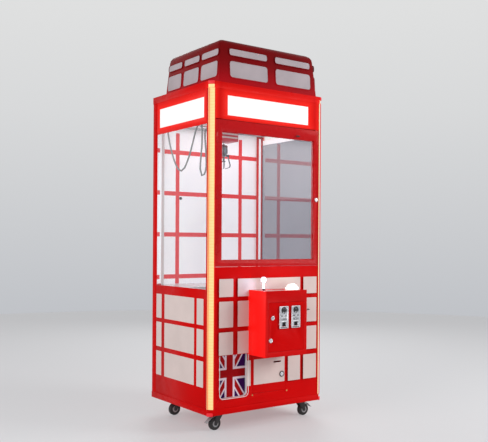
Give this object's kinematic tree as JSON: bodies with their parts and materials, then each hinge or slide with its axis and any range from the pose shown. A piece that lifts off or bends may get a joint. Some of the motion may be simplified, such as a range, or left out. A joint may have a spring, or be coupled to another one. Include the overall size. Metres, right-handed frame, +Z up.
{
  "type": "claw crane machine",
  "caption": "Tall prize crane cabinet on casters with a glass door, side windows, a control box with joystick and button, a prize flap and a claw on a gantry.",
  "frame": {"origin": "on the floor, under the middle of the bounding box", "axes": "+Z up, the front door and control box face -Y, +X to the right as seen from the front"},
  "size_m": [0.834, 0.844, 2.2353],
  "materials": {
    "black_rubber": "matt",
    "black_steel": "black enamel",
    "chrome": "polished",
    "clear_glass": "clear",
    "flap_pattern": "printed bars and triangles",
    "grey_cable": "satin grey sheath",
    "grey_panel": "light grey sheet",
    "lit_ball": "lit translucent plastic",
    "lit_panel": "lit white acrylic",
    "maroon_frame": "glossy dark red paint",
    "red_case": "striped moulded case",
    "red_paint": "glossy red paint",
    "warm_light": "warm lit diffuser",
    "white_panel": "satin white",
    "zinc": "satin"
  },
  "bodies": {
    "cabinet": {"back_wall": "white_panel", "base_frame": "red_paint", "bridge_cable": "grey_cable", "cash_box": "zinc", "control_box": "red_paint", "corner_post_left": "red_paint", "corner_post_right": "red_paint", "front_panel": "red_paint", "gantry_frame": "zinc", "header_box": "red_paint", "led_strip_left": "warm_light", "led_strip_right": "warm_light", "play_deck": "white_panel", "power_supply": "zinc", "prize_chute": "white_panel", "rear_shell": "red_paint", "roof_dome": "maroon_frame", "side_panel_left": "red_paint", "side_panel_right": "red_paint", "sign_front": "lit_panel", "sign_left": "lit_panel", "sign_right": "lit_panel", "window_left": "clear_glass", "window_right": "clear_glass"},
    "front_door": {"front_door_frame": "maroon_frame", "front_door_glass": "clear_glass"},
    "front_door_lock": {"front_door_lock": "chrome"},
    "service_door": {"service_door": "grey_panel"},
    "service_door_lock": {"service_door_lock": "chrome"},
    "prize_flap": {"prize_flap": "flap_pattern"},
    "coin_door": {"coin_door": "red_paint", "coin_plate_left": "chrome", "coin_plate_right": "chrome"},
    "coin_door_lock_upper": {"coin_door_lock_upper": "chrome"},
    "coin_door_lock_lower": {"coin_door_lock_lower": "chrome"},
    "return_button_left": {"return_button_left": "black_steel"},
    "return_button_right": {"return_button_right": "black_steel"},
    "joystick_gimbal": {"joystick_gimbal": "black_steel"},
    "joystick": {"joystick": "lit_ball"},
    "push_button": {"push_button": "lit_ball"},
    "bridge": {"bridge": "zinc", "trolley_cable": "grey_cable"},
    "trolley": {"trolley": "red_case"},
    "string_eye": {"string_eye": "zinc"},
    "hoist_string": {"hoist_string": "white_panel"},
    "claw": {"claw_head": "chrome"},
    "claw_plunger": {"claw_plunger": "zinc"},
    "claw_finger_1": {"claw_finger_1": "chrome"},
    "claw_finger_2": {"claw_finger_2": "chrome"},
    "claw_finger_3": {"claw_finger_3": "chrome"},
    "caster_fork_front_left": {"caster_fork_front_left": "black_steel"},
    "caster_wheel_front_left": {"caster_wheel_front_left": "black_rubber"},
    "caster_fork_front_right": {"caster_fork_front_right": "black_steel"},
    "caster_wheel_front_right": {"caster_wheel_front_right": "black_rubber"},
    "caster_fork_rear_left": {"caster_fork_rear_left": "black_steel"},
    "caster_wheel_rear_left": {"caster_wheel_rear_left": "black_rubber"},
    "caster_fork_rear_right": {"caster_fork_rear_right": "black_steel"},
    "caster_wheel_rear_right": {"caster_wheel_rear_right": "black_rubber"},
    "brake_pedal_front_left": {"brake_pedal_front_left": "zinc"},
    "brake_pedal_front_right": {"brake_pedal_front_right": "zinc"}
  },
  "joints": [
    {"name": "front_door_hinge", "type": "hinge", "parent": "cabinet", "child": "front_door", "pos_m": [-0.3835, -0.247, 1.35325], "axis": [0, 0, -1], "range_deg": [0, 110]},
    {"name": "front_door_lock_turn", "type": "hinge", "parent": "front_door", "child": "front_door_lock", "pos_m": [0.366, -0.242, 1.34125], "axis": [0, -1, 0], "range_deg": [0, 90]},
    {"name": "service_door_hinge", "type": "hinge", "parent": "cabinet", "child": "service_door", "pos_m": [-0.117, -0.242, 0.303], "axis": [0, 0, -1], "range_deg": [0, 110]},
    {"name": "service_door_lock_turn", "type": "hinge", "parent": "service_door", "child": "service_door_lock", "pos_m": [0.1006, -0.242, 0.291], "axis": [0, -1, 0], "range_deg": [0, 90]},
    {"name": "prize_flap_hinge", "type": "hinge", "parent": "cabinet", "child": "prize_flap", "pos_m": [-0.2515, -0.2147, 0.444], "axis": [1, 0, 0], "range_deg": [0, 70]},
    {"name": "coin_door_hinge", "type": "hinge", "parent": "cabinet", "child": "coin_door", "pos_m": [0.129, -0.411, 0.59575], "axis": [0, 0, 1], "range_deg": [0, 105]},
    {"name": "coin_door_lock_upper_turn", "type": "hinge", "parent": "coin_door", "child": "coin_door_lock_upper", "pos_m": [-0.101, -0.411, 0.649], "axis": [0, 1, 0], "range_deg": [0, 90]},
    {"name": "coin_door_lock_lower_turn", "type": "hinge", "parent": "coin_door", "child": "coin_door_lock_lower", "pos_m": [-0.1145, -0.411, 0.522], "axis": [0, 1, 0], "range_deg": [0, 90]},
    {"name": "return_button_left_press", "type": "slide", "parent": "coin_door", "child": "return_button_left", "axis": [0, 1, 0], "range_m": [0, 0.004], "stiffness_N_per_m": 200},
    {"name": "return_button_right_press", "type": "slide", "parent": "coin_door", "child": "return_button_right", "axis": [0, 1, 0], "range_m": [0, 0.004], "stiffness_N_per_m": 200},
    {"name": "joystick_left_right", "type": "hinge", "parent": "cabinet", "child": "joystick_gimbal", "pos_m": [-0.105, -0.3295, 0.783], "axis": [0, 1, 0], "range_deg": [-15, 15], "stiffness_Nm_per_rad": 0.6},
    {"name": "joystick_forward_back", "type": "hinge", "parent": "joystick_gimbal", "child": "joystick", "pos_m": [-0.105, -0.3295, 0.783], "axis": [1, 0, 0], "range_deg": [-15, 15], "stiffness_Nm_per_rad": 0.6},
    {"name": "push_button_press", "type": "slide", "parent": "cabinet", "child": "push_button", "axis": [0, 0, -1], "range_m": [0, 0.004], "stiffness_N_per_m": 600},
    {"name": "bridge_travel", "type": "slide", "parent": "cabinet", "child": "bridge", "axis": [0, 1, 0], "range_m": [0, 0.29], "deforming": ["bridge_cable"]},
    {"name": "trolley_travel", "type": "slide", "parent": "bridge", "child": "trolley", "axis": [1, 0, 0], "range_m": [0, 0.43], "deforming": ["trolley_cable"]},
    {"name": "claw_swing_forward", "type": "hinge", "parent": "trolley", "child": "string_eye", "pos_m": [-0.21, -0.066, 1.666], "axis": [1, 0, 0], "range_deg": [-7, 7]},
    {"name": "claw_swing_sideways", "type": "hinge", "parent": "string_eye", "child": "hoist_string", "pos_m": [-0.21, -0.066, 1.666], "axis": [0, 1, 0], "range_deg": [-7, 7]},
    {"name": "claw_hoist", "type": "slide", "parent": "hoist_string", "child": "claw", "axis": [0, 0, -1], "range_m": [0, 0.64], "deforming": ["hoist_string"]},
    {"name": "claw_plunger_travel", "type": "slide", "parent": "claw", "child": "claw_plunger", "axis": [0, 0, -1], "range_m": [0, 0.012], "stiffness_N_per_m": 1500},
    {"name": "claw_finger_1_open", "type": "hinge", "parent": "claw", "child": "claw_finger_1", "pos_m": [-0.18, -0.066, 1.592], "axis": [0, -1, 0], "range_deg": [0, 36]},
    {"name": "claw_finger_2_open", "type": "hinge", "parent": "claw", "child": "claw_finger_2", "pos_m": [-0.225, -0.04002, 1.592], "axis": [0.866, 0.5, 0], "range_deg": [0, 36]},
    {"name": "claw_finger_3_open", "type": "hinge", "parent": "claw", "child": "claw_finger_3", "pos_m": [-0.225, -0.09198, 1.592], "axis": [-0.866, 0.5, 0], "range_deg": [0, 36]},
    {"name": "caster_swivel_front_left", "type": "hinge", "parent": "cabinet", "child": "caster_fork_front_left", "pos_m": [-0.3, -0.167, 0.09], "axis": [0, 0, 1], "continuous": true},
    {"name": "caster_roll_front_left", "type": "hinge", "parent": "caster_fork_front_left", "child": "caster_wheel_front_left", "pos_m": [-0.33, -0.167, 0.0375], "axis": [0, 1, 0], "continuous": true},
    {"name": "brake_release_front_left", "type": "hinge", "parent": "caster_fork_front_left", "child": "brake_pedal_front_left", "pos_m": [-0.334, -0.167, 0.0815], "axis": [0, 1, 0], "range_deg": [0, 15]},
    {"name": "caster_swivel_front_right", "type": "hinge", "parent": "cabinet", "child": "caster_fork_front_right", "pos_m": [0.3, -0.167, 0.09], "axis": [0, 0, 1], "continuous": true},
    {"name": "caster_roll_front_right", "type": "hinge", "parent": "caster_fork_front_right", "child": "caster_wheel_front_right", "pos_m": [0.33, -0.167, 0.0375], "axis": [0, 1, 0], "continuous": true},
    {"name": "brake_release_front_right", "type": "hinge", "parent": "caster_fork_front_right", "child": "brake_pedal_front_right", "pos_m": [0.334, -0.167, 0.0815], "axis": [0, -1, 0], "range_deg": [0, 15]},
    {"name": "caster_swivel_rear_left", "type": "hinge", "parent": "cabinet", "child": "caster_fork_rear_left", "pos_m": [-0.3, 0.285, 0.09], "axis": [0, 0, 1], "continuous": true},
    {"name": "caster_roll_rear_left", "type": "hinge", "parent": "caster_fork_rear_left", "child": "caster_wheel_rear_left", "pos_m": [-0.33, 0.285, 0.0375], "axis": [0, 1, 0], "continuous": true},
    {"name": "caster_swivel_rear_right", "type": "hinge", "parent": "cabinet", "child": "caster_fork_rear_right", "pos_m": [0.3, 0.285, 0.09], "axis": [0, 0, 1], "continuous": true},
    {"name": "caster_roll_rear_right", "type": "hinge", "parent": "caster_fork_rear_right", "child": "caster_wheel_rear_right", "pos_m": [0.33, 0.285, 0.0375], "axis": [0, 1, 0], "continuous": true}
  ],
  "couplings": [
    {"joint": "claw_finger_1_open", "follows": "claw_plunger_travel", "rad_per_m": 50},
    {"joint": "claw_finger_2_open", "follows": "claw_plunger_travel", "rad_per_m": 50},
    {"joint": "claw_finger_3_open", "follows": "claw_plunger_travel", "rad_per_m": 50}
  ]
}
